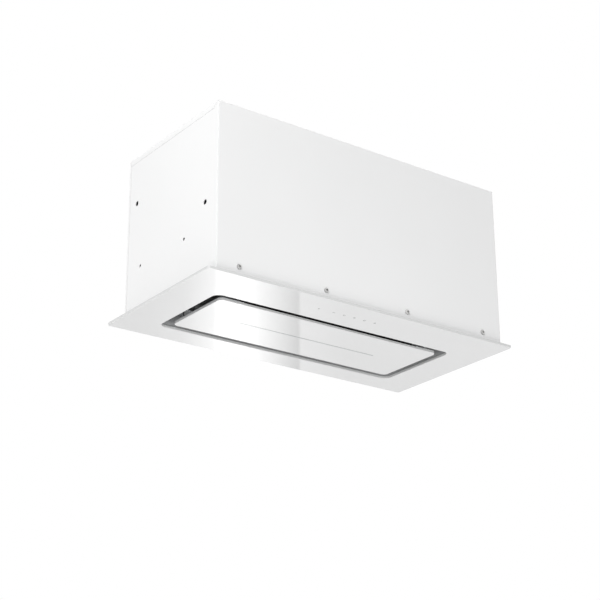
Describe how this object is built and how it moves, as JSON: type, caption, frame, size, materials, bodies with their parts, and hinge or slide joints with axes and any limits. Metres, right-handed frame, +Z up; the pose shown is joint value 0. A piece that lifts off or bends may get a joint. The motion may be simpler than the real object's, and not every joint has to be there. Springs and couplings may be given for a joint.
{
  "type": "ceiling range hood",
  "caption": "White glass range hood for a cabinet cut-out: hinged light panel with suction slot round it, grease filter, blower and top duct outlet.",
  "frame": {"origin": "middle of the cabinet cut-out, on the plane where the rim's upper face seats", "axes": "+X to the right seen from the front, +Y from the touch-key border to the back, +Z up"},
  "size_m": [0.56, 0.276, 0.31],
  "materials": {
    "white_glass": "white-backed, gloss",
    "white_casing": "smooth powder coat",
    "galvanised_sheet": "satin zinc",
    "grey_recess": "satin grey",
    "dark_filter": "satin dark grey",
    "filter_pack": "expanded mesh",
    "screw_steel": "bright zinc",
    "spring_steel": "satin",
    "latch_plastic": "moulded",
    "opal_diffuser": "opal",
    "led_aluminium": "anodised",
    "circuit_board": "coated board",
    "magnet_nickel": "nickel plated",
    "white_plastic": "moulded",
    "black_plastic": "moulded",
    "wheel_sheet": "pressed",
    "motor_paint": "satin dark grey",
    "core_steel": "laminated",
    "shaft_steel": "ground",
    "grommet_rubber": "soft",
    "capacitor_can": "drawn"
  },
  "bodies": {
    "housing": {"glass_plate": "white_glass", "base_frame": "galvanised_sheet", "suction_recess": "grey_recess", "front_wrap": "white_casing", "back_panel": "white_casing", "top_panel": "white_casing", "top_rails": "galvanised_sheet", "rear_posts": "galvanised_sheet", "front_screws": "screw_steel", "rear_screws": "screw_steel", "scroll_screws": "screw_steel", "spigot_screws": "screw_steel", "touch_holder": "black_plastic", "touch_board": "circuit_board", "filter_frame": "dark_filter", "filter_mesh": "filter_pack", "latch_spring": "spring_steel", "hinge_brackets": "galvanised_sheet", "hinge_pins": "shaft_steel", "magnets": "magnet_nickel", "magnet_posts": "white_plastic", "scroll_left": "galvanised_sheet", "scroll_right": "galvanised_sheet", "scroll_band": "galvanised_sheet", "motor_can": "motor_paint", "motor_end_cap": "motor_paint", "motor_bearings": "shaft_steel", "motor_stator": "core_steel", "motor_grommets": "grommet_rubber", "motor_bracket": "galvanised_sheet", "motor_screws": "screw_steel", "outlet_spigot": "black_plastic", "spigot_flange": "black_plastic", "cable_gland": "black_plastic", "gland_nut": "black_plastic", "terminal_box": "white_plastic", "terminal_block": "white_plastic", "control_box": "white_plastic", "control_lid": "white_plastic", "control_board": "circuit_board", "led_driver": "white_plastic", "capacitor": "capacitor_can", "capacitor_clip": "galvanised_sheet"},
    "panel": {"panel_glass": "white_glass", "panel_tray": "galvanised_sheet", "led_diffuser": "opal_diffuser", "led_profile": "led_aluminium", "led_strip": "white_plastic", "panel_hinge_leaves": "galvanised_sheet", "panel_strikes": "galvanised_sheet"},
    "wheel": {"impeller_disc": "wheel_sheet", "impeller_blades": "wheel_sheet", "impeller_rings": "wheel_sheet", "impeller_nut": "screw_steel", "motor_rotor": "core_steel", "motor_shaft": "shaft_steel"},
    "latch": {"filter_latch": "latch_plastic"},
    "flap_front": {"flap_front": "black_plastic"},
    "flap_rear": {"flap_rear": "black_plastic"}
  },
  "joints": [
    {"name": "panel_hinge", "type": "hinge", "parent": "housing", "child": "panel", "pos_m": [0, 0.072, 0.008], "axis": [1, 0, 0], "range_deg": [0, 85]},
    {"name": "impeller_spin", "type": "hinge", "parent": "housing", "child": "wheel", "pos_m": [0, -0.03425, 0.148], "axis": [1, 0, 0], "continuous": true},
    {"name": "flap_front_pivot", "type": "hinge", "parent": "housing", "child": "flap_front", "pos_m": [0, 0.024, 0.282], "axis": [-1, 0, 0], "range_deg": [0, 80]},
    {"name": "flap_rear_pivot", "type": "hinge", "parent": "housing", "child": "flap_rear", "pos_m": [0, 0.032, 0.282], "axis": [1, 0, 0], "range_deg": [0, 80]},
    {"name": "latch_slide", "type": "slide", "parent": "housing", "child": "latch", "axis": [0, 1, 0], "range_m": [0, 0.005], "stiffness_N_per_m": 300, "springref_m": -0.004, "deforming": ["latch_spring"]}
  ]
}
